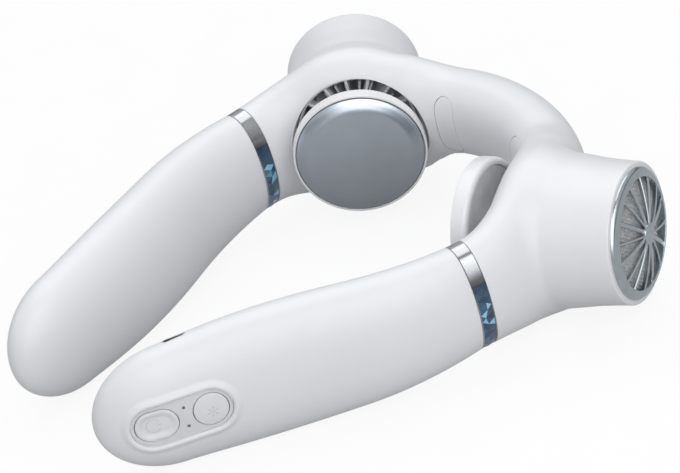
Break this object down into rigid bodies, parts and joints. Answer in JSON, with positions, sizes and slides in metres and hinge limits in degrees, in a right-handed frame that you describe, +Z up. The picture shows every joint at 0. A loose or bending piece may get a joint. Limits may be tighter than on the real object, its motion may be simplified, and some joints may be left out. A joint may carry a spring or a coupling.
{
  "type": "electric neck fan",
  "caption": "White U-shaped neck fan with a fan pod and cooling disc on each side, jointed arms, chrome and crystal rings and a button panel.",
  "frame": {"origin": "middle of the bounding box at its bottom, on the surface that the fan rests on", "axes": "+X to the side of the arm with the controls, +Y to the band behind the neck, -Y to the open front, +Z up"},
  "size_m": [0.2256, 0.2354, 0.0658],
  "materials": {
    "white": "satin white",
    "panel": "pale grey satin",
    "button": "white satin",
    "frame": "light grey",
    "chrome": "polished",
    "crystal": "blue cut crystal look",
    "grille": "blue grey satin",
    "mesh": "grey woven dust mesh",
    "blade": "satin",
    "steel": "bright",
    "copper": "copper windings on steel",
    "fin": "plain",
    "spreader": "grey satin",
    "ceramic": "white ceramic",
    "plate": "polished",
    "battery": "blue sleeve",
    "wire": "black insulation",
    "board": "green board",
    "switch": "black",
    "light": "clear light pipe"
  },
  "bodies": {
    "housing": {"neck_shell": "white", "neck_cover": "white", "neck_cover_screws": "steel", "band_loom": "wire", "left_band_inlay": "white", "right_band_inlay": "white", "left_arm_shell": "white", "right_arm_shell": "white", "left_arm_frame": "frame", "right_arm_frame": "frame", "left_trim_ring": "chrome", "right_trim_ring": "chrome", "left_light_band": "crystal", "right_light_band": "crystal", "left_battery": "battery", "right_battery": "battery", "left_arm_loom": "wire", "right_arm_loom": "wire", "left_intake_grille": "grille", "right_intake_grille": "grille", "left_intake_mesh": "mesh", "right_intake_mesh": "mesh", "left_motor_bracket": "frame", "right_motor_bracket": "frame", "left_motor_stator": "copper", "right_motor_stator": "copper", "left_vane_ring": "white", "right_vane_ring": "white", "left_fin_stack": "fin", "right_fin_stack": "fin", "left_heat_spreader": "spreader", "right_heat_spreader": "spreader", "left_cooling_element": "ceramic", "right_cooling_element": "ceramic", "left_disc_cup": "white", "right_disc_cup": "white", "left_cold_plate": "plate", "right_cold_plate": "plate", "control_panel": "panel", "control_board": "board", "button_switches": "switch", "indicator_lights": "light", "usb_socket": "steel", "usb_board": "board"},
    "left_fan": {"left_impeller": "blade", "left_motor_rotor": "steel"},
    "right_fan": {"right_impeller": "blade", "right_motor_rotor": "steel"},
    "power_button": {"power_button": "button"},
    "mode_button": {"mode_button": "button"}
  },
  "joints": [
    {"name": "left_fan_spin", "type": "hinge", "parent": "housing", "child": "left_fan", "pos_m": [0.0831, 0.08092, 0.0333], "axis": [0.8499, 0.5265, 0.0221], "continuous": true},
    {"name": "right_fan_spin", "type": "hinge", "parent": "housing", "child": "right_fan", "pos_m": [-0.0831, 0.08092, 0.0333], "axis": [-0.8499, 0.5265, 0.0221], "continuous": true},
    {"name": "power_button_press", "type": "slide", "parent": "housing", "child": "power_button", "axis": [-0.9196, 0.3926, 0.0165], "range_m": [0, 0.0005], "stiffness_N_per_m": 600, "springref_m": -0.001},
    {"name": "mode_button_press", "type": "slide", "parent": "housing", "child": "mode_button", "axis": [-0.9196, 0.3926, 0.0165], "range_m": [0, 0.0005], "stiffness_N_per_m": 600, "springref_m": -0.001}
  ]
}
